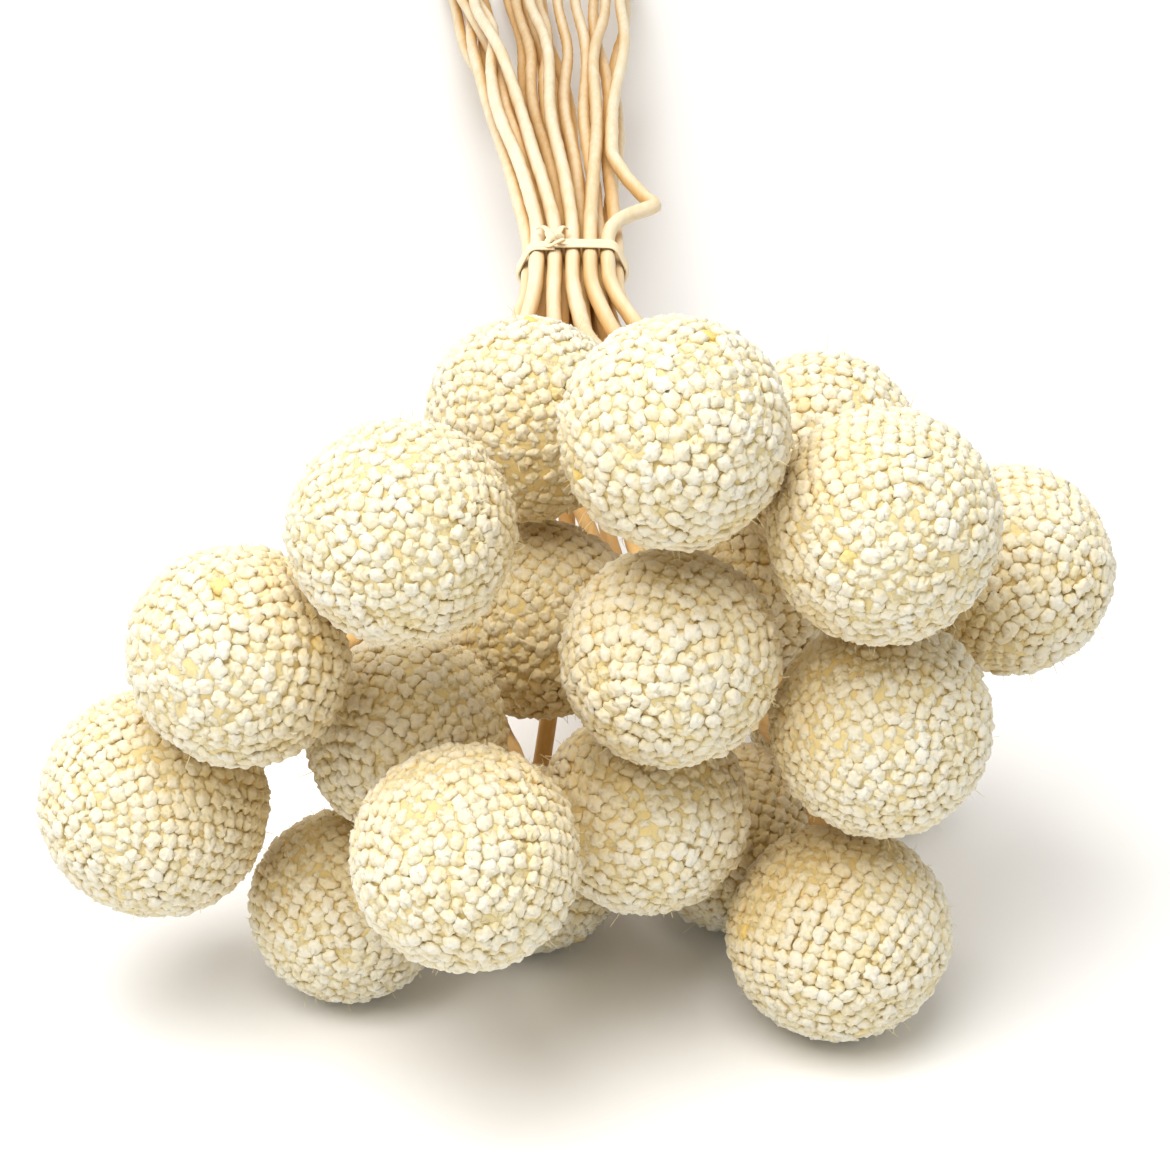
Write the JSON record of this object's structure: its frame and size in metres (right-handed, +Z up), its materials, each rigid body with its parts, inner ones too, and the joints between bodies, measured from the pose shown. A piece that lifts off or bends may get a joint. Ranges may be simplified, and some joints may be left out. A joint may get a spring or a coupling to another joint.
{
  "type": "bunch of dried craspedia",
  "caption": "Tied bunch of dried ball-shaped craspedia flowers on thin bare stems, lying on its side.",
  "frame": {"origin": "on the resting surface, under the middle of the bunch's box", "axes": "+Z up from the surface, +Y along the bunch from the flower heads towards the cut stem ends, +X to the right seen from the heads"},
  "size_m": [0.1392, 0.5052, 0.1021],
  "materials": {
    "flower_head": "matte dry florets, cream tips over straw-yellow gaps",
    "stem": "dry satin plant stem, pale straw",
    "tie": "dry raffia-like strand"
  },
  "bodies": {
    "root": {"head_01": "flower_head", "head_02": "flower_head", "head_03": "flower_head", "head_04": "flower_head", "head_05": "flower_head", "head_06": "flower_head", "head_07": "flower_head", "head_08": "flower_head", "head_09": "flower_head", "head_10": "flower_head", "head_11": "flower_head", "head_12": "flower_head", "head_13": "flower_head", "head_14": "flower_head", "head_15": "flower_head", "head_16": "flower_head", "head_17": "flower_head", "head_18": "flower_head", "head_19": "flower_head", "head_20": "flower_head", "stem_01": "stem", "stem_02": "stem", "stem_03": "stem", "stem_04": "stem", "stem_05": "stem", "stem_06": "stem", "stem_07": "stem", "stem_08": "stem", "stem_09": "stem", "stem_10": "stem", "stem_11": "stem", "stem_12": "stem", "stem_13": "stem", "stem_14": "stem", "stem_15": "stem", "stem_16": "stem", "stem_17": "stem", "stem_18": "stem", "stem_19": "stem", "stem_20": "stem", "tie": "tie"}
  },
  "joints": []
}
